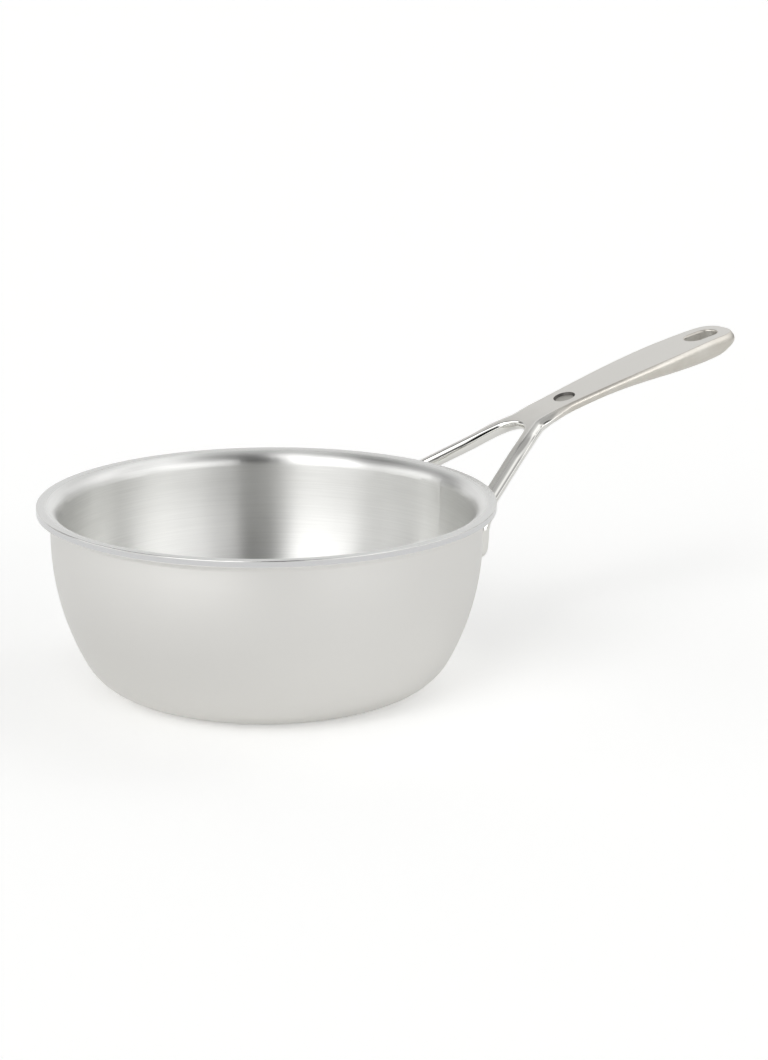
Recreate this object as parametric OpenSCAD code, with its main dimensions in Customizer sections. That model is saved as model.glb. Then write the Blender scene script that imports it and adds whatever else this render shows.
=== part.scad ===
// Saucier pan: a bowl of five bonded plies with a flared lip, and a forked cast handle welded on.
// Origin: centre of the flat base, on its underside. +Z is up, +X runs out along the handle.

/* [Bowl] */
// Inner diameter of the straight neck, the pan's nominal size
mouth_d = 200; // [185:1:260]
// Height of the bowl from base to rim
bowl_h = 90; // [75:1:120]
// Diameter of the flat part of the base, outside
base_d = 128; // [90:1:145]
// Radius of the corner between base and wall, outside
corner_r = 28; // [18:1:34]
// Height of the straight neck under the lip, where a lid's skirt sits
neck_h = 9.4; // [4:0.2:16]
// Radius of the lip's rolled upper face
lip_r = 7; // [5:0.5:9]
// Distance that the lip stands out from the outer wall
lip_reach = 6.5; // [5.5:0.5:12]
// Radius that breaks the two arrises of the lip's cut edge
arris_r = 0.4; // [0.2:0.05:0.45]

/* [Plies] */
// Inner ply, stainless steel
inner_ply_t = 0.6; // [0.5:0.05:0.8]
// Each of the two bonding layers, aluminium alloy
bond_t = 0.2; // [0.1:0.05:0.4]
// Core, pure aluminium
core_t = 1.9; // [1:0.1:4]
// Outer ply, magnetic stainless steel
outer_ply_t = 0.6; // [0.45:0.05:1]

/* [Handle] */
// Length from the bowl's outer wall to the end of the grip's flat top
handle_len = 177; // [150:1:230]
// Distance between the middle lines of the two feet, at the wall
foot_spread = 78.8; // [60:0.2:92]
// Angle of each arm to the handle's middle line, seen from above
arm_angle = 29.2; // [25:0.2:34]
// Slope of the arms
arm_slope = 29.4; // [20:0.2:34]
// Slope of the grip at its waist
waist_slope = 16.8; // [12:0.2:24]
// Slope of the grip where it is broadest
swell_slope = 13.5; // [6:0.5:18]
// Slope of the grip at its end
end_slope = 8; // [0:0.5:12]
// Full width of the grip's flat top at the waist
waist_w = 17.6; // [14:0.2:24]
// Full width of the grip's flat top where it is broadest
swell_w = 27; // [22:0.2:36]
// Full width to which the flat top narrows before its round end
tip_w = 22.8; // [18:0.2:30]
// Thickness of the grip at the waist
waist_t = 6.8; // [5:0.1:10]
// Thickness of the grip near its end
swell_t = 13.2; // [9:0.1:16]
// Distance that the grip's sides bulge past its flat top
side_bulge = 1.0; // [0.4:0.1:2]
// Radius of the fork's blunt inner end
crotch_r = 12.5; // [10:0.5:15]

/* [Arms and feet] */
// Width of the flat on top of an arm
arm_flat_w = 3; // [2:0.1:4]
// Distance that an arm's inner side bulges past its flat
arm_in_bulge = 1.2; // [0.8:0.1:2]
// Distance that an arm's outer side bulges past its flat
arm_out_bulge = 4; // [2.5:0.1:4.5]
// Depth of an arm, square to its top
arm_t = 6.8; // [6:0.1:8]
// Width of a foot
foot_w = 16; // [11:0.5:20]
// Thickness of a foot
foot_t = 4.6; // [3.5:0.1:6.5]
// Distance from the rim down to the lower end of a foot
foot_drop = 33.5; // [30:0.5:38]
// Room between the top of an arm and the lip above it
lip_gap = 0.7; // [0.6:0.1:1.5]
// Gap between foot and wall that the welds fill
weld_gap = 0.3; // [0.2:0.05:0.5]
// Diameter of one weld nugget
weld_d = 5; // [3:0.5:6.5]
// Distance between the two nuggets of a foot
weld_pitch = 8; // [7:0.5:9]
// Distance from the lower end of a foot up to its lower nugget
weld_from_end = 5.5; // [4.5:0.5:6.5]

/* [Hang slot and thumb dimple] */
// Length of the hang slot
slot_len = 19; // [14:0.5:24]
// Width of the hang slot
slot_w = 11.4; // [8:0.2:13]
// Distance from the slot's centre to the end of the grip
slot_from_end = 15.5; // [14:0.5:22]
// Bevel round the slot's mouth
slot_bevel = 1.0; // [0.4:0.1:1.5]
// Diameter of the round dimple at the waist
dimple_d = 11; // [7:0.5:13]
// Depth of the round dimple
dimple_depth = 1.3; // [0.6:0.1:2.5]
// Distance from the dimple's centre to the end of the grip
dimple_from_end = 104; // [90:1:112]

/* [Hidden] */
// Longer than anything in the model, and how far a cutter stands above the face it cuts
beyond = 400;
cut_over = 1;

// Depth of each ply's faces, measured in from the outer face of the sheet
core_at = outer_ply_t + bond_t;
inner_bond_at = core_at + core_t;
inner_ply_at = inner_bond_at + bond_t;
sheet_t = inner_ply_at + inner_ply_t;

// Bowl profile: flat base, corner arc, long wall arc, straight neck, lip arc, flat rim.
// Neighbouring arcs meet at wall_turn, and overlap there by a hair so that they fuse.
wall_r = mouth_d / 2 + sheet_t;
rim_r = wall_r + lip_reach;
base_r = base_d / 2;
lip_z = bowl_h - lip_r;
lip_x = wall_r + lip_r - sheet_t;
neck_z = lip_z - neck_h;
wall_turn = 2 * atan((wall_r - base_r - corner_r) / (neck_z - corner_r));
wall_sweep_r = corner_r + (neck_z - corner_r) / sin(wall_turn);
arc_overlap = 0.02;

// Feet: the casting's top side turns down and runs this far inside the wall's face before it is cut
foot_sink = 1;
foot_in_r = wall_r + weld_gap - foot_sink;
foot_y = foot_spread / 2;
foot_x = sqrt(foot_in_r * foot_in_r - foot_y * foot_y);
foot_turn = atan2(foot_y, foot_x);
foot_end_z = bowl_h - foot_drop;

// The arms' middle lines meet at the apex; the crotch is a circle on the sloping top, tangent to both
apex_x = foot_x + foot_y / tan(arm_angle);
lean = atan(tan(arm_angle) * cos(arm_slope));
crotch_x = apex_x - (crotch_r + arm_flat_w / 2) / sin(lean) * cos(arm_slope);
grip_start = crotch_x + crotch_r * sin(lean) * cos(arm_slope);

// Places along the grip, as distances past the apex or short of the end
neck_x = apex_x - 28;
bow_x = apex_x - 1;
collar_from_x = apex_x - 4;
collar_to_x = apex_x + 5;
waist_x = apex_x + 22;
grip_end = wall_r + handle_len;
swell_x = grip_end - 40;
shoulder_x = grip_end - 22;
tip_slide_x = grip_end - 26;
deepest_x = grip_end - 14;
cap_x = grip_end - 12;

// Where an arm's middle line leaves the rim, and how high its top lies there
rim_turn = asin(apex_x * sin(arm_angle) / rim_r) - arm_angle;
rim_leave_x = rim_r * cos(rim_turn);
rim_leave_z = bowl_h - sheet_t - lip_gap;

// The handle's top line: slopes at chosen places, joined by parabolas
shoulder_share = 0.2;
shoulder_slope = swell_slope + shoulder_share * (end_slope - swell_slope);
top_x = [rim_leave_x, neck_x, bow_x, swell_x, shoulder_x, grip_end];
top_slope = [tan(arm_slope), tan(arm_slope), tan(waist_slope), tan(swell_slope),
             tan(shoulder_slope), tan(end_slope)];
function stretch(x, i = 0) = i >= len(top_x) - 2 || x < top_x[i + 1] ? i : stretch(x, i + 1);
function rise(i, x) =
    let (run = x - top_x[i], full = top_x[i + 1] - top_x[i], s0 = top_slope[i], s1 = top_slope[i + 1])
    s0 * run + (s1 - s0) * run * run / (2 * full);
function height_at(i) = i == 0 ? rim_leave_z : height_at(i - 1) + rise(i - 1, top_x[i]);
function top_z(x) = let (i = stretch(x)) height_at(i) + rise(i, x);
function slope_at(x) =
    let (i = stretch(x), u = (x - top_x[i]) / (top_x[i + 1] - top_x[i]))
    atan(top_slope[i] + (top_slope[i + 1] - top_slope[i]) * u);

// Small functions for easing and for vectors
function share(x, from, to) = min(max((x - from) / (to - from), 0), 1);
function ease(u) = (1 - cos(180 * u)) / 2;
function mix(a, b, u) = a + (b - a) * u;
function soft_max(a, b, k) = (a + b + sqrt((a - b) * (a - b) + k * k)) / 2;
function unit(v) = v / norm(v);
function polar(r, turn) = [r * cos(turn), r * sin(turn)];

// Cross-section of the casting: flat on top, sides that bulge, and a round underside.
// Each half runs from the edge of the flat down to the keel. flat and side are its widths there and at
// its broadest, belly is the depth of the broadest place, and square shapes the underside.
half_n = 14;
function half_section(flat, side, deep, belly, square) =
    let (start = acos(flat / side), upper = belly / sin(start), lower = deep - belly)
    [for (k = [0 : half_n - 1])
        let (a = start - k * (start + 90) / (half_n - 0.5), p = a < 0 ? 2 / square : 1)
        [side * pow(cos(a), p), -belly + (a < 0 ? -lower * pow(-sin(a), p) : upper * sin(a))]];
function section(right, left) = concat(right, [for (k = [half_n - 1 : -1 : 0]) [-left[k][0], left[k][1]]]);

// Closed skin over a row of rings with as many points each
module skin(rings) {
    n = len(rings[0]);
    m = len(rings);
    sides = [for (i = [0 : m - 2], k = [0 : n - 1]) let (q = (k + 1) % n)
        each [[i * n + k, (i + 1) * n + q, (i + 1) * n + k], [i * n + k, i * n + q, (i + 1) * n + q]]];
    first_cap = [[for (k = [n - 1 : -1 : 0]) k]];
    last_cap = [[for (k = [0 : n - 1]) (m - 1) * n + k]];
    polyhedron(points = [for (r = rings) each r], faces = concat(sides, first_cap, last_cap));
}

// Ring at a place, heading a way, with its width along side, from a section
function ring_at(place, way, side, outline) =
    let (t = unit(way), s = unit(side - (side * t) * t), up = cross(t, s))
    [for (p = outline) place + p[0] * s + p[1] * up];

// Half profile of one ply between two depths, as bands round fixed centres
module arc_band(r_in, r_out, from, to) {
    intersection() {
        difference() {
            circle(r = r_out, $fn = 180);
            circle(r = r_in, $fn = 180);
        }
        polygon([[0, 0], polar(2 * r_out, from), polar(2 * r_out, to)]);
    }
}

// Flat end of a ply in the lip: the outermost plies lose their sharp arris, above (1) or below (-1)
module rim_flat(width, thick, arris) {
    if (arris == 0)
        square([width, thick]);
    else {
        round_y = arris > 0 ? thick - arris_r : arris_r;
        square([width - arris_r, thick]);
        translate([0, arris > 0 ? 0 : arris_r]) square([width, thick - arris_r]);
        intersection() {
            translate([width - arris_r, round_y]) circle(r = arris_r, $fn = 48);
            square([width, thick]);
        }
    }
}

module ply_profile(shallow, deep, arris) {
    translate([0, shallow]) square([base_r, deep - shallow]);
    translate([base_r, corner_r])
        arc_band(corner_r - deep, corner_r - shallow, -90, -wall_turn);
    translate([wall_r - wall_sweep_r, neck_z])
        arc_band(wall_sweep_r - deep, wall_sweep_r - shallow, -wall_turn - arc_overlap, 0);
    translate([wall_r - deep, neck_z]) square([deep - shallow, neck_h]);
    translate([lip_x, lip_z])
        arc_band(lip_r - sheet_t + shallow, lip_r - sheet_t + deep, 90, 180);
    translate([lip_x, lip_z + lip_r - sheet_t + shallow])
        rim_flat(rim_r - lip_x, deep - shallow, arris);
}

module ply(shallow, deep, arris = 0) {
    rotate_extrude($fn = 180) ply_profile(shallow, deep, arris);
}

module inner_ply() {
    color("gainsboro") ply(inner_ply_at, sheet_t, 1);
}

module inner_bond_layer() {
    color("lightgray") ply(inner_bond_at, inner_ply_at);
}

module aluminium_core() {
    color("silver") ply(core_at, inner_bond_at);
}

module outer_bond_layer() {
    color("lightgray") ply(outer_ply_t, core_at);
}

module outer_ply() {
    color("gainsboro") ply(0, outer_ply_t, -1);
}

// Everything inside the outer wall, grown by a gap: what a foot is cut to and a nugget ends on
module wall_envelope(gap) {
    rotate_extrude($fn = 180) {
        square([base_r, bowl_h]);
        translate([base_r, corner_r]) intersection() {
            circle(r = corner_r + gap, $fn = 180);
            translate([0, -beyond]) square(2 * beyond);
        }
        intersection() {
            translate([wall_r - wall_sweep_r, neck_z]) circle(r = wall_sweep_r + gap, $fn = 360);
            translate([0, corner_r * (1 - sin(wall_turn))]) square([beyond, neck_z]);
        }
        translate([0, neck_z]) square([wall_r + gap, neck_h + lip_r]);
    }
}

// Grip: one skin from the fork to the end, its flat top on the handle's top line.
// Its section grows out of an arm's, and its end is blunt: bulging at belly height, cut back below.
grip_steps = 44;
body_share = 0.55;
arm_belly = 0.42;
grip_belly = 0.32;
arm_square = 2.2;
grip_square = 2.3;
fork_blend = 3;
cap_power = 2.8;
cap_turn = 88;
tip_out = 2.2;
tip_under = 8;
tip_thin = 0.12;
least_half = 0.25;
function fork_edge(x) = (apex_x - x) * tan(arm_angle) + arm_flat_w / 2 / cos(lean);
function cap_round(x, power) = pow(1 - pow(share(x, cap_x, grip_end), power), 1 / power);
function grip_flat(x) =
    let (plain = mix(waist_w, swell_w, ease(share(x, neck_x, swell_x))) / 2,
         blend = fork_blend * ease(share(x, grip_start, apex_x)),
         taper = (tip_w - swell_w) / 2 * share(x, swell_x, grip_end))
    (soft_max(plain, fork_edge(x), blend) + taper) * cap_round(x, cap_power);
function grip_bulge(x) =
    mix(arm_out_bulge, side_bulge, ease(share(x, collar_from_x, collar_to_x))) * cap_round(x, 2);
function grip_deep(x) =
    mix(arm_t, waist_t, ease(share(x, grip_start, waist_x)))
    + (swell_t - waist_t) * ease(share(x, waist_x, deepest_x))
    - tip_thin * swell_t * pow(share(x, deepest_x, grip_end), 2);
function tip_slide(q) =
    tip_out * sin(90 * min(q / grip_belly, 2)) - tip_under * pow(share(q, grip_belly, 1), 2);
function grip_station(i) =
    let (u = i / grip_steps)
    u < body_share ? mix(grip_start, swell_x, u / body_share)
                   : mix(swell_x, grip_end, sin(cap_turn * share(u, body_share, 1)) / sin(cap_turn));
function grip_ring(x) =
    let (a = slope_at(x), deep = grip_deep(x), flat = max(grip_flat(x), least_half),
         w = ease(share(x, grip_start, waist_x)), s = pow(share(x, tip_slide_x, grip_end), 2),
         belly = deep * mix(arm_belly, grip_belly, w), side = flat + max(grip_bulge(x), least_half),
         half = half_section(flat, side, deep, belly, mix(arm_square, grip_square, w)))
    [for (p = section(half, half))
        [x - p[1] * sin(a) + s * tip_slide(-p[1] / deep), p[0], top_z(x) + p[1] * cos(a)]];

module grip() {
    skin([for (i = [0 : grip_steps]) grip_ring(grip_station(i))]);
}

// Opening at the fork's inner end: round in plan, its wall bulging as the arms' inner sides do
module crotch() {
    inner = half_section(arm_flat_w / 2, arm_flat_w / 2 + arm_in_bulge, arm_t, arm_belly * arm_t, arm_square);
    wall = [for (p = inner) [crotch_r + arm_flat_w / 2 - p[0], p[1]]];
    foot_of_wall = crotch_r + arm_flat_w / 2;
    rotate_extrude($fn = 96)
        polygon(concat([[0, cut_over], [crotch_r, cut_over]], wall,
                       [[foot_of_wall, -arm_t], [foot_of_wall, -2 * arm_t], [0, -2 * arm_t]]));
}

// One arm with its foot: a straight run, a bend under the lip, then down the wall.
// The arm's flat leaves the fork in the grip's sloping top and turns level from side to side.
arm_start_x = crotch_x + crotch_r + 4;
arm_level_in = 14;
arm_sink = 0.04;
bend_in = 11;
arm_runs = 14;
bend_runs = 12;
foot_runs = 12;
foot_belly = 0.3;
foot_square = 3.2;
foot_flat = 0.9;
foot_round_from = 0.45;
function wall_lean(z) = asin(max(neck_z - z, 0) / wall_sweep_r);
function wall_reach(z) = foot_in_r - wall_sweep_r * (1 - cos(wall_lean(z)));
function on_wall(z) = concat(polar(wall_reach(z), foot_turn), [z]);
function down_wall(z) = concat(polar(-sin(wall_lean(z)), foot_turn), [-cos(wall_lean(z))]);
function arm_place(x) = [x, (apex_x - x) * tan(arm_angle), top_z(x) - arm_sink];
function arm_way(x) = [-cos(arm_angle), sin(arm_angle), -cos(arm_angle) * tan(slope_at(x))];
function arm_side(x) =
    let (keep = 1 - ease(share(x, grip_start, grip_start - arm_level_in)))
    -[sin(arm_angle), cos(arm_angle), sin(arm_angle) * tan(slope_at(x)) * keep];
foot_side = [sin(foot_turn), -cos(foot_turn), 0];

corner_pt = arm_place(foot_x);
bend_x = foot_x + bend_in;
bend_pt = arm_place(bend_x);
foot_top_z = corner_pt[2] - bend_in;
foot_top_pt = on_wall(foot_top_z);
function bend(u) = (1 - u) * (1 - u) * bend_pt + 2 * u * (1 - u) * corner_pt + u * u * foot_top_pt;
function bend_way(u) = (1 - u) * (corner_pt - bend_pt) + u * (foot_top_pt - corner_pt);

// Section u of the way from arm to foot, closed by v towards the foot's lower end
least_close = 0.05;
function foot_outline(u, v) =
    let (w = ease(u), close = max(sqrt(1 - v * v), least_close), arm_half = arm_flat_w / 2,
         flat = close * mix(arm_half, foot_flat * foot_w / 2, w),
         inner = close * mix(arm_half + arm_in_bulge, foot_w / 2, w),
         outer = close * mix(arm_half + arm_out_bulge, foot_w / 2, w),
         deep = mix(arm_t, foot_t + foot_sink, w) * sqrt(close), belly = mix(arm_belly, foot_belly, w) * deep,
         square = mix(arm_square, foot_square, w))
    section(half_section(flat, inner, deep, belly, square), half_section(flat, outer, deep, belly, square));

arm_rings = concat(
    [for (i = [0 : arm_runs - 1])
        let (x = mix(arm_start_x, bend_x, i / arm_runs))
        ring_at(arm_place(x), arm_way(x), arm_side(x), foot_outline(0, 0))],
    [for (i = [0 : bend_runs])
        let (u = i / bend_runs)
        ring_at(bend(u), bend_way(u), mix(arm_side(bend_x), foot_side, ease(u)), foot_outline(u, 0))],
    [for (i = [1 : foot_runs])
        let (v = sin(90 * i / foot_runs), z = mix(foot_top_z, foot_end_z, v))
        ring_at(on_wall(z), down_wall(z), foot_side, foot_outline(1, share(v, foot_round_from, 1)))]
);

module arm() {
    skin(arm_rings);
}

// Places a child on the handle's flat top, square to it
module on_top(x) {
    translate([x, 0, top_z(x)]) rotate([0, -slope_at(x), 0]) children();
}

// Hang slot: a straight slot with a bevel of a few steps round its mouth
bevel_steps = 7;
module slot_prism(length, width, bottom) {
    half = (length - width) / 2;
    hull() {
        for (s = [-half, half]) translate([s, 0, bottom])
            cylinder(d = width, h = cut_over - bottom, $fn = 32);
    }
}

module hang_slot() {
    slot_prism(slot_len, slot_w, -2 * swell_t);
    for (i = [0 : bevel_steps - 1]) {
        turn = 90 * (i + 0.5) / bevel_steps;
        grow = 2 * slot_bevel * (1 - sin(turn));
        slot_prism(slot_len + grow, slot_w + grow, -slot_bevel * (1 - cos(turn)));
    }
}

module thumb_dimple() {
    translate([0, 0, -dimple_depth])
        cylinder(d1 = dimple_d - dimple_depth, d2 = dimple_d, h = dimple_depth, $fn = 96);
    cylinder(d = dimple_d, h = cut_over, $fn = 96);
}

module handle() {
    color("silver") difference() {
        union() {
            difference() {
                grip();
                on_top(crotch_x) crotch();
            }
            arm();
            mirror([0, 1, 0]) arm();
        }
        wall_envelope(weld_gap);
        on_top(grip_end - slot_from_end) hang_slot();
        on_top(grip_end - dimple_from_end) thumb_dimple();
    }
}

// Two projection-weld nuggets under a foot, one above the other, between wall and foot
module weld_pair(side) {
    low_z = foot_end_z + weld_from_end;
    color("darkgray") intersection() {
        difference() {
            wall_envelope(weld_gap);
            wall_envelope(0);
        }
        for (z = [low_z, low_z + weld_pitch])
            rotate([0, 0, side * foot_turn]) translate([foot_in_r - foot_t, 0, z]) rotate([0, 90, 0])
                cylinder(d = weld_d, h = 2 * foot_t, $fn = 48);
    }
}

module left_weld() {
    weld_pair(1);
}

module right_weld() {
    weld_pair(-1);
}

inner_ply();
inner_bond_layer();
aluminium_core();
outer_bond_layer();
outer_ply();
handle();
left_weld();
right_weld();
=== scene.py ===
# A saucier pan standing on a pale floor, its forked handle running off to the right and back.
# Metres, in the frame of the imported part: base centre at the origin, +Z up, +X out along the handle.
import math

import bmesh
import bpy
import numpy as np
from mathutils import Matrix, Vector


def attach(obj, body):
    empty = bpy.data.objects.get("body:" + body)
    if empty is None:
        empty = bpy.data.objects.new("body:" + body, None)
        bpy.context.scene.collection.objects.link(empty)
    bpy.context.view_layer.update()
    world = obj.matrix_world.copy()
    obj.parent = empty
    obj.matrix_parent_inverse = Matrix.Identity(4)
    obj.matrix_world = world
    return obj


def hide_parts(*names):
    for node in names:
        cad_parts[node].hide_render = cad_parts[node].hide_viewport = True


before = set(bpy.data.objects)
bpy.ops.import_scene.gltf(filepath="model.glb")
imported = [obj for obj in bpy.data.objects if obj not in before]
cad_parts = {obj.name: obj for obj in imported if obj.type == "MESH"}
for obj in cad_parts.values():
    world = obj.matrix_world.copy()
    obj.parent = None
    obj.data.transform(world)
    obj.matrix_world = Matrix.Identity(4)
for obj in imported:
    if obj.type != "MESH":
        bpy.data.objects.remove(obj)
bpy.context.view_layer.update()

# Clad sheet of the bowl: five plies pressed as one blank, stainless skins bonded to a thick aluminium core.
# The inner ply is brushed in circles, the outer one and the lip are satin, and the ply ends are polished
# where the lip is cut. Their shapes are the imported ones, so here they only get their finishes.
MM = 0.001
FACTOR, COLOUR_A, COLOUR_B = 0, 6, 7  # sockets of a Mix node that blends colours
FLARE_R, FLARE_BLEND = 104.2 * MM, 2 * MM  # where the brushing ends, and over how far
# Scratches some tenths of a mm wide and some cm long, drawn coarser than the real hundredths so that they show
SCRATCHES_PER_MM, SCRATCHES_PER_RADIAN = 1.6, 3.0
SPECKS_PER_MM, COARSE_SPECKS_PER_MM = 1.5, 0.9  # blasting grit, drawn at twice its real size or more
NOISE_LOW, NOISE_HIGH = 0.3, 0.7  # between which nearly all of a noise lies


def linear(colour):
    """An sRGB hex colour as the linear values that a shader takes."""
    parts = [int(colour[i:i + 2], 16) / 255 for i in (1, 3, 5)]
    return [p / 12.92 if p <= 0.04045 else ((p + 0.055) / 1.055) ** 2.4 for p in parts] + [1.0]


def add(tree, kind, links=None, **settings):
    """A node with its settings, its inputs set or linked by name or number."""
    node = tree.nodes.new(kind)
    for key, value in settings.items():
        setattr(node, key, value)
    for key, value in (links or {}).items():
        if isinstance(value, bpy.types.NodeSocket):
            tree.links.new(value, node.inputs[key])
        else:
            node.inputs[key].default_value = value
    return node


def new_material(name):
    """An empty node material, with its tree and its output node."""
    mat = bpy.data.materials.new(name)
    mat.use_nodes = True
    mat.node_tree.nodes.clear()
    return mat, mat.node_tree, add(mat.node_tree, "ShaderNodeOutputMaterial")


def dress(name, mat):
    """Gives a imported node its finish."""
    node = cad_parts[name]
    node.data.materials.clear()
    node.data.materials.append(mat)


def inside_steel():
    """Stainless brushed in circles: a light in it is drawn out up and down the wall. The lip is a soft satin."""
    mat, tree, out = new_material("stainless_brushed_in_circles")
    where = add(tree, "ShaderNodeTexCoord").outputs["Object"]
    xyz = add(tree, "ShaderNodeSeparateXYZ", {0: where}).outputs
    level = add(tree, "ShaderNodeVectorMath", {0: where, 1: (1, 1, 0)}, operation="MULTIPLY").outputs[0]
    radius = add(tree, "ShaderNodeVectorMath", {0: level}, operation="LENGTH").outputs["Value"]
    around = add(tree, "ShaderNodeMath", {0: xyz[1], 1: xyz[0]}, operation="ARCTAN2").outputs[0]
    ring = add(tree, "ShaderNodeCombineXYZ", {0: radius, 1: xyz[2], 2: around}).outputs[0]
    fine = SCRATCHES_PER_MM / MM
    ring = add(tree, "ShaderNodeVectorMath", {0: ring, 1: (fine, fine, SCRATCHES_PER_RADIAN)},
               operation="MULTIPLY").outputs[0]
    scratch = add(tree, "ShaderNodeTexNoise", {"Vector": ring, "Scale": 1.0, "Detail": 3.0}).outputs[0]
    lip = add(tree, "ShaderNodeMapRange",
              {"Value": radius, "From Min": FLARE_R, "From Max": FLARE_R + FLARE_BLEND}).outputs[0]
    rough = add(tree, "ShaderNodeMapRange", {"Value": scratch, "From Min": NOISE_LOW, "From Max": NOISE_HIGH,
                                             "To Min": 0.32, "To Max": 0.38}).outputs[0]
    rough = add(tree, "ShaderNodeMapRange", {"Value": lip, "To Min": rough, "To Max": 0.2}).outputs[0]
    tint = add(tree, "ShaderNodeMix", {FACTOR: scratch, COLOUR_A: linear("#E6E6E4"), COLOUR_B: linear("#F7F7F5")},
               data_type="RGBA").outputs[2]
    tint = add(tree, "ShaderNodeMix", {FACTOR: lip, COLOUR_A: tint, COLOUR_B: linear("#E0E0DE")},
               data_type="RGBA").outputs[2]
    along = add(tree, "ShaderNodeTangent", direction_type="RADIAL", axis="Z").outputs[0]
    steel = add(tree, "ShaderNodeBsdfPrincipled",
                {"Base Color": tint, "Metallic": 1.0, "Roughness": rough, "Anisotropic": 0.9,
                 "Anisotropic Rotation": 0.25, "Tangent": along})
    tree.links.new(steel.outputs[0], out.inputs[0])
    return mat


def satin_steel(name, colour, rough, specks_per_mm=SPECKS_PER_MM):
    """Blasted or belted satin: soft and even, with a grain that shows only as a slight unevenness."""
    mat, tree, out = new_material(name)
    where = add(tree, "ShaderNodeTexCoord").outputs["Object"]
    speck = add(tree, "ShaderNodeTexNoise",
                {"Vector": where, "Scale": specks_per_mm / MM, "Detail": 2.0}).outputs[0]
    uneven = add(tree, "ShaderNodeMapRange", {"Value": speck, "From Min": NOISE_LOW, "From Max": NOISE_HIGH,
                                              "To Min": rough - 0.03, "To Max": rough + 0.03}).outputs[0]
    steel = add(tree, "ShaderNodeBsdfPrincipled",
                {"Base Color": linear(colour), "Metallic": 1.0, "Roughness": uneven})
    tree.links.new(steel.outputs[0], out.inputs[0])
    return mat


def cut_edge_metal():
    """Ply ends buffed bright: crisp light along the edge, a little wavy from the wheel, waves 5 to 6 mm long."""
    mat, tree, out = new_material("aluminium_polished_cut_edge")
    where = add(tree, "ShaderNodeTexCoord").outputs["Object"]
    wave = add(tree, "ShaderNodeTexNoise", {"Vector": where, "Scale": 0.18 / MM, "Detail": 1.0}).outputs[0]
    bump = add(tree, "ShaderNodeBump", {"Height": wave, "Strength": 0.06, "Distance": 0.4 * MM}).outputs[0]
    metal = add(tree, "ShaderNodeBsdfPrincipled",
                {"Base Color": linear("#DDDDDE"), "Metallic": 1.0, "Roughness": 0.18, "Normal": bump})
    tree.links.new(metal.outputs[0], out.inputs[0])
    return mat


dress("inner_ply", inside_steel())
dress("outer_ply", satin_steel("stainless_satin_outside", "#E7E6E3", 0.42))
cut_edge = cut_edge_metal()
dress("aluminium_core", cut_edge)
dress("inner_bond_layer", cut_edge)
dress("outer_bond_layer", cut_edge)

# Projection welds: two fused steel nuggets between each foot and the wall. They only show as dark
# discs in the 0.3 mm gap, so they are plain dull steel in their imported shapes.
nugget = satin_steel("stainless_weld_nugget", "#8C8B88", 0.55, COARSE_SPECKS_PER_MM)
dress("left_weld", nugget)
dress("right_weld", nugget)

# Handle: one stainless casting. Its top is belted to a flat satin land, its sides and underside are
# mirror polished, softer on the grip, and the hang slot's wall is left as cast. It is drawn again as one
# closed smooth skin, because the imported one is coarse. In mm until its vertices are made.
WALL_R, WALL_SWEEP_R, NECK_Z = 103.5, 124.21, 73.6
RIM_R, RIM_Z, SHEET, LIP_GAP = 110.0, 90.0, 3.5, 0.7
WELD_GAP, FOOT_SINK, FOOT_SPREAD = 0.3, 1.0, 78.8
ARM_ANGLE, ARM_SLOPE = math.radians(29.2), math.radians(29.4)
GRIP_END = 280.5

foot_in_r = WALL_R + WELD_GAP - FOOT_SINK
foot_x = math.sqrt(foot_in_r ** 2 - (FOOT_SPREAD / 2) ** 2)
foot_turn = math.atan2(FOOT_SPREAD / 2, foot_x)
apex_x = foot_x + FOOT_SPREAD / 2 / math.tan(ARM_ANGLE)
lean = math.atan(math.tan(ARM_ANGLE) * math.cos(ARM_SLOPE))
rim_turn = math.asin(apex_x * math.sin(ARM_ANGLE) / RIM_R) - ARM_ANGLE
rim_leave_x = RIM_R * math.cos(rim_turn)
neck_x, bow_x, waist_x = apex_x - 28, apex_x - 1, apex_x + 22
collar_from_x, collar_to_x = apex_x - 10, apex_x + 10
swell_x, shoulder_x, tip_slide_x = GRIP_END - 40, GRIP_END - 22, GRIP_END - 26
deepest_x, cap_x = GRIP_END - 14, GRIP_END - 12

# The top line, tabled finely and a little past both ends: place along X, slope, height, length along the slope
TABLE_ROWS = 24001
knots = [rim_leave_x - 60, rim_leave_x, neck_x, bow_x, swell_x, shoulder_x, GRIP_END, GRIP_END + 20]
grades = [math.tan(math.radians(a)) for a in (29.4, 29.4, 29.4, 16.8, 13.5, 12.4, 8.0, 8.0)]
line_x = np.linspace(knots[0], knots[-1], TABLE_ROWS)
line_grade = np.interp(line_x, knots, grades)
step = line_x[1] - line_x[0]
rise = np.concatenate([[0], np.cumsum((line_grade[1:] + line_grade[:-1]) / 2 * step)])
line_z = rise - np.interp(rim_leave_x, line_x, rise) + RIM_Z - SHEET - LIP_GAP
run = np.sqrt(1 + line_grade ** 2)
line_s = np.concatenate([[0], np.cumsum((run[1:] + run[:-1]) / 2 * step)])


def share(x, low, high):
    return min(max((x - low) / (high - low), 0.0), 1.0)


def ease(u):
    return (1 - math.cos(math.pi * u)) / 2


def mix(a, b, u):
    return a + (b - a) * u


def s_of(x):
    return float(np.interp(x, line_x, line_s))


def x_of(s):
    return float(np.interp(s, line_s, line_x))


def z_of(x):
    return float(np.interp(x, line_x, line_z))


def grade_of(x):
    return float(np.interp(x, line_x, line_grade))


def place(s, y, depth=0.0):
    """A point at a length along the top line, a distance across it and a depth square to it."""
    x = x_of(s)
    z, grade = z_of(x), grade_of(x)
    n = math.hypot(1, grade)
    return (x + depth * grade / n, y, z - depth / n)


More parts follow.
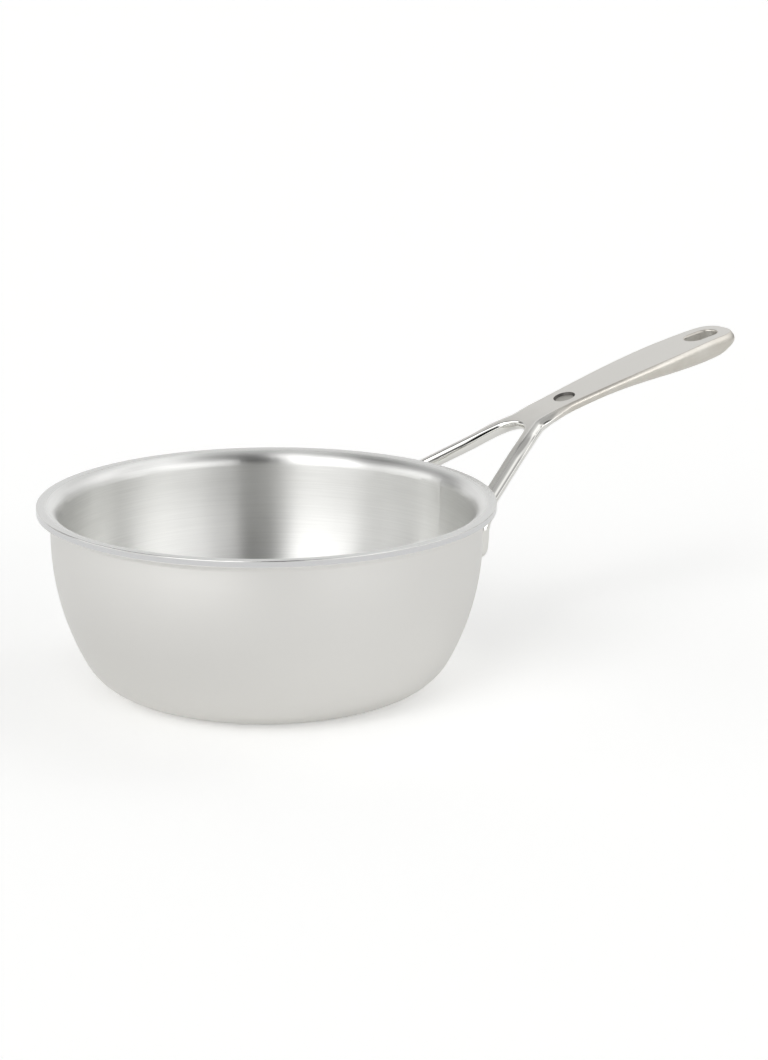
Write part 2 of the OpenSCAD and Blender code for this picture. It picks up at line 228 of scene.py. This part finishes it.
# Sections: a half outline has a flat top, a tiny fillet, a bulging side and a keel, and is squarer below its belly
FILLET, SIDE_STEPS = 0.35, 22


def half_profile(flat, side, deep, belly, square):
    """From the flat's edge, over the fillet, down the bulging side to the keel: distances out and down."""
    start = math.acos(flat / side)
    upper, lower = belly / math.sin(start), deep - belly

    def at(a):
        p = 2 / square if a < 0 else 1
        out = side * abs(math.cos(a)) ** p
        return out, belly - upper * math.sin(a) if a >= 0 else belly + lower * abs(math.sin(a)) ** p

    turn = FILLET / math.hypot(side * math.sin(start), upper * math.cos(start))
    last = at(start - turn)
    points = []
    for t in (0, 1 / 3, 2 / 3):
        points.append(((1 - t) ** 2 * (flat - FILLET) + 2 * t * (1 - t) * flat + t * t * last[0], t * t * last[1]))
    angles = np.linspace(start - turn, -math.pi / 2, SIDE_STEPS)
    return points + [at(a) for a in angles[:-1]] + [(0.0, deep)]


def free_outline(centre, out, down, outline):
    """A half outline in a free frame: centre on the flat's middle line, unit vectors out and down."""
    return [tuple(c + o * p[0] + d * p[1] for c, o, d in zip(centre, out, down)) for p in outline]


def top_outline(s, y, out_s, out_y, profile):
    """A half outline that stands on the sloping top, out along (out_s, out_y) from a keel point."""
    return [place(s + p[0] * out_s, y + p[0] * out_y, p[1]) for p in profile]


# Grip: wide and flat on top, thickest near its blunt end, and blended at its waist into the fork's outer edge
ARM_FLAT, ARM_IN, ARM_OUT, ARM_T = 3.0, 1.2, 4.0, 6.8
WAIST_W, SWELL_W, TIP_W, WAIST_T, SWELL_T = 17.6, 27.0, 22.8, 6.8, 13.2
ARM_BELLY, ARM_SQUARE, GRIP_BELLY, GRIP_SQUARE = 0.42, 2.2, 0.32, 2.3
SIDE_BULGE, FORK_BLEND, CAP_POWER = 1.0, 3, 2.8
TIP_OUT, TIP_UNDER, TIP_THIN = 2.1, 8, 0.12
LEAST_FLAT, LEAST_BULGE = 0.45, 0.25
CROTCH_R = 12.5


def arm_plan(x):
    return (apex_x - x) * math.tan(ARM_ANGLE)


def fork_edge(x):
    return arm_plan(x) + ARM_FLAT / 2 / math.cos(lean)


s_crotch = s_of(apex_x - (CROTCH_R + ARM_FLAT / 2) / math.sin(lean) * math.cos(ARM_SLOPE))
grip_start = x_of(s_crotch + CROTCH_R * math.sin(lean))


def grip_flat(x):
    plain = mix(WAIST_W, SWELL_W, ease(share(x, neck_x, swell_x))) / 2
    edge, blend = fork_edge(x), FORK_BLEND * ease(share(x, grip_start, apex_x))
    taper = (TIP_W - SWELL_W) / 2 * share(x, swell_x, GRIP_END)
    body = (plain + edge + math.sqrt((plain - edge) ** 2 + blend ** 2)) / 2 + taper
    return body * (1 - share(x, cap_x, GRIP_END) ** CAP_POWER) ** (1 / CAP_POWER)


def grip_bulge(x):
    cap = math.sqrt(1 - share(x, cap_x, GRIP_END) ** 2)
    return mix(ARM_OUT, SIDE_BULGE, ease(share(x, collar_from_x, collar_to_x))) * cap


def grip_deep(x):
    return (mix(ARM_T, WAIST_T, ease(share(x, grip_start, waist_x)))
            + (SWELL_T - WAIST_T) * ease(share(x, waist_x, deepest_x))
            - TIP_THIN * SWELL_T * share(x, deepest_x, GRIP_END) ** 2)


def grip_outline(x):
    """Half section of the grip at a place, pushed past the end at belly height and drawn back below it."""
    flat, deep, w = max(grip_flat(x), LEAST_FLAT), grip_deep(x), ease(share(x, grip_start, waist_x))
    side, belly = flat + max(grip_bulge(x), LEAST_BULGE), deep * mix(ARM_BELLY, GRIP_BELLY, w)
    slide, points = share(x, tip_slide_x, GRIP_END) ** 2, []
    for out, down in half_profile(flat, side, deep, belly, mix(ARM_SQUARE, GRIP_SQUARE, w)):
        q = down / deep
        push = (TIP_OUT * math.sin(math.pi / 2 * min(q / GRIP_BELLY, 2))
                - TIP_UNDER * share(q, GRIP_BELLY, 1) ** 2)
        px, py, pz = place(s_of(x), out, down)
        points.append((px + slide * push, py, pz))
    return points


# Feet, bends and arms: each place has an outer and an inner row of points, from the flat's edge to the keel
FOOT_DROP, FOOT_T, FOOT_FLAT, FOOT_HALF = 33.5, 5.6, 7.2, 8.0
FOOT_BELLY, FOOT_SQUARE, FOOT_ROUND_FROM, LEAST_CLOSE = 0.3, 3.2, 0.45, 0.05
BEND_IN, LEVEL_IN = 11, 14.0
FOOT_ROWS, BEND_ROWS, ARM_ROWS = 26, 30, 24
outer_rows, inner_rows = [], []


def wall_lean(z):
    return math.asin(max(NECK_Z - z, 0) / WALL_SWEEP_R)


def unit(v):
    return np.asarray(v) / np.linalg.norm(v)


def free_station(centre, way, side, outlines):
    """An outer and an inner row square to a way, kept off the wall by the weld gap."""
    t = unit(way)
    across = unit(np.asarray(side) - np.dot(side, t) * t)
    down = -np.cross(t, across)
    for rows, sign, outline in ((outer_rows, -1, outlines[0]), (inner_rows, 1, outlines[1])):
        row = []
        for p in free_outline(centre, sign * across, down, outline):
            wall = WALL_R + WELD_GAP - WALL_SWEEP_R * (1 - math.cos(wall_lean(p[2])))
            grow = max(wall / math.hypot(p[0], p[1]), 1.0)
            row.append((p[0] * grow, p[1] * grow, p[2]))
        rows.append(row)


def foot_outlines(u, v):
    """Outer and inner half section, u of the way from arm to foot, closed by v towards its lower end."""
    w, close = ease(u), max(math.sqrt(1 - v * v), LEAST_CLOSE)
    deep = mix(ARM_T, FOOT_T, w) * math.sqrt(close)
    flat = mix(ARM_FLAT / 2, FOOT_FLAT, w) * close
    return [half_profile(flat, mix(ARM_FLAT / 2 + bulge, FOOT_HALF, w) * close, deep,
                         mix(ARM_BELLY, FOOT_BELLY, w) * deep, mix(ARM_SQUARE, FOOT_SQUARE, w))
            for bulge in (ARM_OUT, ARM_IN)]


def arm_frame(x):
    """A point on an arm's middle line, the way down the arm, and its side, which turns level on its way out."""
    grade = grade_of(x)
    sin, cos = math.sin(ARM_ANGLE), math.cos(ARM_ANGLE)
    keep = 1 - ease(share(x, grip_start, grip_start - LEVEL_IN))
    return (np.array([x, arm_plan(x), z_of(x)]), np.array([-cos, sin, -cos * grade]),
            -np.array([sin, cos, sin * grade * keep]))


def on_wall(z):
    reach = foot_in_r - WALL_SWEEP_R * (1 - math.cos(wall_lean(z)))
    return np.array([reach * math.cos(foot_turn), reach * math.sin(foot_turn), z])


corner = arm_frame(foot_x)[0]
bend_at, _, bend_side = arm_frame(foot_x + BEND_IN)
foot_top_z, foot_end_z = corner[2] - BEND_IN, RIM_Z - FOOT_DROP
foot_top = on_wall(foot_top_z)
foot_side = np.array([math.sin(foot_turn), -math.cos(foot_turn), 0])
for i in range(FOOT_ROWS, 0, -1):
    v = math.sin(math.pi / 2 * i / FOOT_ROWS)
    z = mix(foot_top_z, foot_end_z, v)
    tilt = wall_lean(z)
    down = [-math.sin(tilt) * math.cos(foot_turn), -math.sin(tilt) * math.sin(foot_turn), -math.cos(tilt)]
    free_station(on_wall(z), down, foot_side, foot_outlines(1, share(v, FOOT_ROUND_FROM, 1)))
for i in range(BEND_ROWS, -1, -1):
    u = i / BEND_ROWS
    way = (1 - u) * (corner - bend_at) + u * (foot_top - corner)
    spot = (1 - u) ** 2 * bend_at + 2 * u * (1 - u) * corner + u * u * foot_top
    free_station(spot, way, mix(bend_side, foot_side, ease(u)), foot_outlines(u, 0))

keel_r = CROTCH_R + ARM_FLAT / 2
arm_y = keel_r * math.cos(lean)
arm_from_x, arm_to_x = foot_x + BEND_IN, x_of(s_crotch + keel_r * math.sin(lean))
for i in range(1, ARM_ROWS + 1):
    u = i / ARM_ROWS
    spot, way, side = arm_frame(mix(arm_from_x, arm_to_x, u))
    spot[1] += (arm_y - arm_plan(arm_to_x)) * u * u
    free_station(spot, way, side, foot_outlines(0, 0))

# Crotch: the inner rows turn about its centre while the outer ones swing square to the grip
FAN_ROWS, FAN_OUT, FAN_POWER, EDGE_TRIES = 28, 11, 2.2, 12
merge_r = CROTCH_R + FAN_OUT
merge_x = x_of(s_crotch + merge_r)
for i in range(1, FAN_ROWS + 1):
    u = i / FAN_ROWS
    turn = (math.pi / 2 - lean) * (1 - u)
    reach = mix(keel_r, merge_r, u ** FAN_POWER)
    keel_s, keel_y = s_crotch + reach * math.cos(turn), reach * math.sin(turn)
    edge_s = keel_s
    for _ in range(EDGE_TRIES):
        edge_x = x_of(edge_s)
        edge_y = grip_flat(edge_x)
        edge_s = keel_s + (edge_y - keel_y) * math.tan(lean * (1 - ease(u)))
    flat = math.hypot(edge_s - keel_s, edge_y - keel_y)
    w = ease(share(edge_x, grip_start, waist_x))
    deep = mix(ARM_T, grip_deep(merge_x), ease(u))
    outer_rows.append(top_outline(
        keel_s, keel_y, (edge_s - keel_s) / flat, (edge_y - keel_y) / flat,
        half_profile(flat, flat + grip_bulge(edge_x), deep, deep * mix(ARM_BELLY, GRIP_BELLY, w),
                     mix(ARM_SQUARE, GRIP_SQUARE, w))))
    back = reach - CROTCH_R
    inner_rows.append(top_outline(keel_s, keel_y, -math.cos(turn), -math.sin(turn),
                                  half_profile(back, back + ARM_IN, deep, ARM_BELLY * deep, ARM_SQUARE)))

# Grip rows: from the fork to the blunt end, closer together round its cap
GRIP_ROWS, CAP_ROWS, CAP_TURN = 70, 50, math.radians(88)
grip_places = list(np.linspace(merge_x, swell_x, GRIP_ROWS)[1:]) + [
    mix(swell_x, GRIP_END, math.sin(CAP_TURN * i / CAP_ROWS) / math.sin(CAP_TURN)) for i in range(1, CAP_ROWS + 1)]
grip_rows = [grip_outline(x) for x in grip_places]

# The skin: both halves' rows joined by quads, a sloping top between their edges, and caps at feet and end
SIDE, TOP, SLOT, DIMPLE, DIMPLE_WALL = range(5)
TOP_STEPS, SAME_PLACE = 5, 0.004 * MM
mesh = bmesh.new()


def lay(rows, mirror):
    flip = -1 if mirror else 1
    return [[mesh.verts.new((x * MM, y * MM * flip, z * MM)) for x, y, z in row] for row in rows]


def fill(corners, flip, finish):
    corners = list(dict.fromkeys(corners))
    face = mesh.faces.new(corners[::-1] if flip else corners)
    face.material_index, face.smooth = finish, True


def patch(rows, flip, finish):
    for a, b in zip(rows, rows[1:]):
        for k in range(len(a) - 1):
            fill([a[k], a[k + 1], b[k + 1], b[k]], flip, finish)


def top_row(a, b, follow_line=True):
    """Vertices between two edge points of the top, ends included, on the top line or straight."""
    row = [a]
    for i in range(1, TOP_STEPS - 1):
        p = a.co.lerp(b.co, i / (TOP_STEPS - 1))
        row.append(mesh.verts.new((p.x, p.y, z_of(p.x / MM) * MM) if follow_line else p))
    return row + [b]


ends = []
for mirror in (False, True):
    outer, inner, grip = lay(outer_rows, mirror), lay(inner_rows, mirror), lay(grip_rows, mirror)
    patch(outer + grip, mirror, SIDE)
    patch(inner, not mirror, SIDE)
    tops = [top_row(a[0], b[0], i > FOOT_ROWS + BEND_ROWS) for i, (a, b) in enumerate(zip(outer, inner))]
    patch(tops, not mirror, TOP)
    foot_row = tops[0]
    middle = [mesh.verts.new((x * MM, 0, z_of(x) * MM)) for x in [merge_x] + grip_places]
    tops = [tops[-1]] + [top_row(a[0], b) for a, b in zip([outer[-1]] + grip, middle)]
    patch(tops, not mirror, TOP)
    fill(outer[0] + inner[0][-2::-1] + foot_row[-2:0:-1], not mirror, SIDE)
    ends.append((grip[-1], tops[-1]))
(left, left_top), (right, right_top) = ends
fill(left_top + right_top[-2::-1] + [right[1], left[1]], True, SIDE)
for k in range(1, len(left) - 2):
    fill([left[k], right[k], right[k + 1], left[k + 1]], True, SIDE)
fill([left[-2], right[-2], left[-1]], True, SIDE)
bmesh.ops.remove_doubles(mesh, verts=mesh.verts, dist=SAME_PLACE)
bmesh.ops.recalc_face_normals(mesh, faces=mesh.faces)

# Hang slot with a rounded bevel, right through, and the shallow round dimple for the thumb
SLOT_X, SLOT_HALF, SLOT_R, BEVEL, SLOT_THROUGH = GRIP_END - 15.5, 3.8, 5.7, 1.0, 26
DIMPLE_X, DIMPLE_R, DIMPLE_DEPTH = GRIP_END - 104, 5.5, 1.3
DIMPLE_EDGE, DIMPLE_TAPER, DIMPLE_ROUND = 0.25, 0.65, 0.3
EDGE_TURN, FLOOR_TURN = 1.2, 0.2  # how far round the dimple's upper and lower rounding go (radians)
BEVEL_STEPS, EDGE_STEPS, FLOOR_STEPS = 9, 5, 6
CUT_OVER, SLOT_POINTS, DIMPLE_POINTS = 2, 48, 72


def new_object(name, source):
    """An object in the scene made from a bmesh, which is freed."""
    data = bpy.data.meshes.new(name)
    source.to_mesh(data)
    source.free()
    obj = bpy.data.objects.new(name, data)
    bpy.context.collection.objects.link(obj)
    return obj


def cutter(name, x, rings):
    """A closed cutter from rings in the frame of the flat top at a place: along, across and down."""
    shape = bmesh.new()
    z, grade = z_of(x), grade_of(x)
    n = math.hypot(1, grade)
    rows = [[shape.verts.new(((x + (along + down * grade) / n) * MM, across * MM,
                              (z + (along * grade - down) / n) * MM)) for along, across, down in ring]
            for ring in rings]
    count = len(rows[0])
    for a, b in zip(rows, rows[1:]):
        for k in range(count):
            shape.faces.new([a[k], a[(k + 1) % count], b[(k + 1) % count], b[k]])
    shape.faces.new(rows[0])
    shape.faces.new(rows[-1][::-1])
    bmesh.ops.recalc_face_normals(shape, faces=shape.faces)
    return new_object(name, shape)


def stadium(half, radius, down, count):
    """Round-ended outline of a slot, at a depth."""
    ring = []
    for k in range(count):
        a = 2 * math.pi * (k + 0.5) / count - math.pi / 2
        shift = half if k < count / 2 else -half
        ring.append((shift + radius * math.cos(a), radius * math.sin(a), down))
    return ring


slot_steps = [(SLOT_R + BEVEL, -CUT_OVER)]
slot_steps += [(SLOT_R + BEVEL * (1 - math.sin(t)), BEVEL * (1 - math.cos(t)))
               for t in np.linspace(0, math.pi / 2, BEVEL_STEPS)]
slot_steps += [(SLOT_R, SLOT_THROUGH)]
dimple_steps = [(DIMPLE_R + DIMPLE_EDGE, -CUT_OVER)]
dimple_steps += [(DIMPLE_R + DIMPLE_EDGE * (1 - math.sin(t)), DIMPLE_EDGE * (1 - math.cos(t)))
                 for t in np.linspace(0, EDGE_TURN, EDGE_STEPS)]
dimple_steps += [(DIMPLE_R - DIMPLE_TAPER - DIMPLE_ROUND * (1 - math.cos(t)),
                  DIMPLE_DEPTH - DIMPLE_ROUND * (1 - math.sin(t)))
                 for t in np.linspace(FLOOR_TURN, math.pi / 2, FLOOR_STEPS)]
cutters = [cutter("slot_cutter", SLOT_X, [stadium(SLOT_HALF, r, d, SLOT_POINTS) for r, d in slot_steps]),
           cutter("dimple_cutter", DIMPLE_X, [stadium(0, r, d, DIMPLE_POINTS) for r, d in dimple_steps])]

# Finishes of the casting, in the order of SIDE, TOP, SLOT, DIMPLE and DIMPLE_WALL
BUFFED_FROM_X, BUFFED_TO_X = 154 * MM, 172 * MM
BELOW_TOP, ON_WALL, FLOOR_INSET = 0.02, 0.01, 0.8
SHARP_ANGLE = math.radians(32)


def mirror_steel():
    """Mirror polish: sharp reflections on the arms. Hand-buffed on the grip, so warmer, softer and cloudy there."""
    mat, tree, out = new_material("stainless_mirror_polished")
    where = add(tree, "ShaderNodeTexCoord").outputs["Object"]
    x = add(tree, "ShaderNodeSeparateXYZ", {0: where}).outputs[0]
    grip = add(tree, "ShaderNodeMapRange", {"Value": x, "From Min": BUFFED_FROM_X, "From Max": BUFFED_TO_X},
               interpolation_type="SMOOTHSTEP").outputs[0]
    # Clouds left by the buffing wheel, about 11 mm across
    cloud = add(tree, "ShaderNodeTexNoise", {"Vector": where, "Scale": 0.09 / MM, "Detail": 3.0}).outputs[0]
    buffed = add(tree, "ShaderNodeMix", {FACTOR: cloud, COLOUR_A: linear("#C9C4BA"), COLOUR_B: linear("#DFDCD5")},
                 data_type="RGBA").outputs[2]
    tint = add(tree, "ShaderNodeMix", {FACTOR: grip, COLOUR_A: linear("#E8E7E3"), COLOUR_B: buffed},
               data_type="RGBA").outputs[2]
    rough = add(tree, "ShaderNodeMapRange", {"Value": grip, "To Min": 0.05, "To Max": 0.35}).outputs[0]
    steel = add(tree, "ShaderNodeBsdfPrincipled", {"Base Color": tint, "Metallic": 1.0, "Roughness": rough})
    tree.links.new(steel.outputs[0], out.inputs[0])
    return mat


handle = new_object("cast_handle", mesh)
for mat in (mirror_steel(),
            satin_steel("stainless_satin_flat", "#E5E3DE", 0.36),  # belted land: an even silky sheen
            satin_steel("stainless_as_cast", "#D8D6D1", 0.45, COARSE_SPECKS_PER_MM),  # slot wall: dull, grainy
            satin_steel("stainless_dimple_floor_darker", "#C8C6C0", 0.55),  # dimple's floor: flat grey, darker than the top
            satin_steel("stainless_dimple_wall_painted_shade", "#63615E", 0.5)):  # dimple's wall: dark grey, painted shade of the recess
    handle.data.materials.append(mat)
for tool in cutters:
    cut = handle.modifiers.new("cut", "BOOLEAN")
    cut.object, cut.operation, cut.solver = tool, "DIFFERENCE", "MANIFOLD"
bpy.context.view_layer.update()
cut_mesh = bpy.data.meshes.new_from_object(handle.evaluated_get(bpy.context.evaluated_depsgraph_get()))
handle.modifiers.clear()
handle.data = cut_mesh
for tool in cutters:
    bpy.data.objects.remove(tool)


def finish_of(p):
    """Which finish a face in the slot or the dimple has, from where its middle lies (mm), or None elsewhere."""
    depth = (z_of(p.x) - p.z) / math.hypot(1, grade_of(p.x))
    for x, half, r, edge in ((SLOT_X, SLOT_HALF, SLOT_R, BEVEL), (DIMPLE_X, 0, DIMPLE_R, DIMPLE_EDGE)):
        grade = grade_of(x)
        along = ((p.x - x) + (p.z - z_of(x)) * grade) / math.hypot(1, grade)
        reach = math.hypot(max(abs(along) - half, 0), p.y)
        if reach < r + edge and depth > BELOW_TOP:
            if half == 0:
                return DIMPLE if reach < r - FLOOR_INSET else DIMPLE_WALL
            return SLOT if reach < r + ON_WALL else SIDE
    return None


for face in handle.data.polygons:
    finish = finish_of(face.center / MM)
    if finish is not None:
        face.material_index = finish
handle.data.set_sharp_from_angle(angle=SHARP_ANGLE)
steady = handle.modifiers.new("steady_normals", "WEIGHTED_NORMAL")
steady.keep_sharp = True
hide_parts("handle")
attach(handle, "root")

# Studio floor: a white paper sweep, matt, which keeps the pan's soft shadow. It is a little lifted to the
# eye and in the steel's reflections, so that it comes out white in both without more light on the pan.
LIFT_TO_EYE, LIFT_IN_STEEL, HALF_SIZE = 0.26, 0.15, 40
floor_mesh = bmesh.new()
bmesh.ops.create_grid(floor_mesh, x_segments=1, y_segments=1, size=HALF_SIZE)
floor = new_object("floor", floor_mesh)
mat, tree, out = new_material("white_sweep")
ray = add(tree, "ShaderNodeLightPath").outputs
paper = add(tree, "ShaderNodeMix", {FACTOR: ray["Is Camera Ray"], COLOUR_A: linear("#EEEEED"),
                                    COLOUR_B: linear("#F8F8F7")}, data_type="RGBA").outputs[2]
matte = add(tree, "ShaderNodeBsdfDiffuse", {"Color": paper}).outputs[0]
to_eye = add(tree, "ShaderNodeMath", {0: ray["Is Camera Ray"], 1: LIFT_TO_EYE}, operation="MULTIPLY").outputs[0]
in_steel = add(tree, "ShaderNodeMath", {0: ray["Is Glossy Ray"], 1: LIFT_IN_STEEL}, operation="MULTIPLY").outputs[0]
strength = add(tree, "ShaderNodeMath", {0: to_eye, 1: in_steel}, operation="ADD").outputs[0]
lift = add(tree, "ShaderNodeEmission", {"Strength": strength}).outputs[0]
tree.links.new(add(tree, "ShaderNodeAddShader", {0: matte, 1: lift}).outputs[0], out.inputs[0])
floor.data.materials.append(mat)

# Studio light: a tent of white cloth lit unevenly, in four rings one above another and a plain top. Each ring
# gives degrees round from the camera's side, positive to the picture's right, and the light there. The bright
# panels stand either side of the camera, and the dark gap between them is where the photographer stood.
CAMERA_SIDE, TENT_LIGHT = math.radians(-123.2), 1.1
LOW_RING = [(-180, 0.8), (-134, 0.8), (-129, 0.05), (-106, 0.05), (-100, 1.0), (-62, 1.0), (-54, 1.8), (-16, 1.9),
            (-4, 0.3), (2, 0.0), (18, 0.0), (20, 1.0), (44, 1.4), (54, 0.4), (110, 0.4), (115, 0.05), (148, 0.05),
            (154, 0.9), (180, 0.8)]
MID_RING = [(-180, 0.75), (-140, 0.75), (-128, 0.35), (-112, 0.5), (-102, 1.7), (-80, 1.8), (-66, 1.3),
            (-55, 1.5), (-52, 2.2), (-15, 2.2), (-4, 0.1), (0, 0.0), (18, 0.0), (20, 1.7), (36, 1.9), (40, 2.4),
            (58, 2.2), (68, 1.3), (86, 1.5), (100, 1.05), (130, 0.85), (180, 0.75)]
HIGH_RING = [(-180, 0.8), (-156, 0.7), (-139, 0.2), (-120, 0.3), (-58, 0.3), (-50, 2.3), (-18, 2.0), (-4, 0.0),
             (24, 0.0), (40, 0.4), (58, 0.4), (70, 1.3), (85, 0.8), (100, 0.4), (115, 1.3), (130, 1.0), (160, 0.5),
             (180, 0.8)]
TOP_RING = [(-180, 0.6), (-140, 0.1), (-60, 0.1), (-32, 0.6), (-22, 2.2), (-6, 2.2), (4, 0.0), (52, 0.0),
            (64, 0.4), (80, 0.7), (108, 1.0), (140, 1.2), (168, 0.7), (180, 0.6)]
CROWN = (0.42, 0.42, 0.42, 1)
world = bpy.data.worlds.new("studio")
bpy.context.scene.world = world
world.use_nodes = True
tree = world.node_tree
tree.nodes.clear()
out = add(tree, "ShaderNodeOutputWorld")
ray = add(tree, "ShaderNodeLightPath").outputs
way = add(tree, "ShaderNodeTexCoord").outputs["Generated"]
way = add(tree, "ShaderNodeVectorRotate", {"Vector": way, "Angle": -CAMERA_SIDE}, rotation_type="Z_AXIS").outputs[0]
way = add(tree, "ShaderNodeSeparateXYZ", {0: way}).outputs
turn = add(tree, "ShaderNodeMath", {0: way[1], 1: way[0]}, operation="ARCTAN2").outputs[0]
turn = add(tree, "ShaderNodeMapRange", {"Value": turn, "From Min": -math.pi, "From Max": math.pi}).outputs[0]
rings = []
for stops in (LOW_RING, MID_RING, HIGH_RING, TOP_RING):
    ramp = add(tree, "ShaderNodeValToRGB", {0: turn})
    while len(ramp.color_ramp.elements) < len(stops):
        ramp.color_ramp.elements.new(0.5)
    for element, (angle, value) in zip(ramp.color_ramp.elements, stops):
        element.position = angle / 360 + 0.5
        element.color = (value, value, value, 1)
    rings.append(ramp.outputs[0])
tent = rings[0]
# From which height to which each ring gives way to the next, as the sine of the angle above the floor
for upper, low, high in ((rings[1], 0.11, 0.17), (rings[2], 0.4, 0.5), (rings[3], 0.74, 0.82), (CROWN, 0.9, 0.97)):
    blend = add(tree, "ShaderNodeMapRange", {"Value": way[2], "From Min": low, "From Max": high},
                interpolation_type="SMOOTHSTEP").outputs[0]
    tent = add(tree, "ShaderNodeMix", {FACTOR: blend, COLOUR_A: tent, COLOUR_B: upper},
               data_type="RGBA").outputs[2]
light = add(tree, "ShaderNodeBackground", {"Color": tent, "Strength": TENT_LIGHT}).outputs[0]
white = add(tree, "ShaderNodeBackground", {"Color": (1, 1, 1, 1), "Strength": 1.0}).outputs[0]
tree.links.new(add(tree, "ShaderNodeMixShader", {0: ray["Is Camera Ray"], 1: light, 2: white}).outputs[0],
               out.inputs[0])

# Camera: a long lens held a little above the rim, where the photographer stood.
scene = bpy.context.scene
scene.view_settings.view_transform = "Standard"
lens = bpy.data.cameras.new("camera")
lens.sensor_fit, lens.sensor_width, lens.lens = "HORIZONTAL", 36.0, 131.25
lens.shift_x, lens.shift_y = -0.0003, 0.0004
lens.clip_start, lens.clip_end = 0.05, 100
camera = bpy.data.objects.new("camera", lens)
camera.location = (-0.6643, -1.1176, 0.4208)
camera.rotation_mode = "QUATERNION"
camera.rotation_quaternion = Vector((0.5291, 0.8086, -0.2574)).to_track_quat("-Z", "Y")
scene.collection.objects.link(camera)
scene.camera = camera
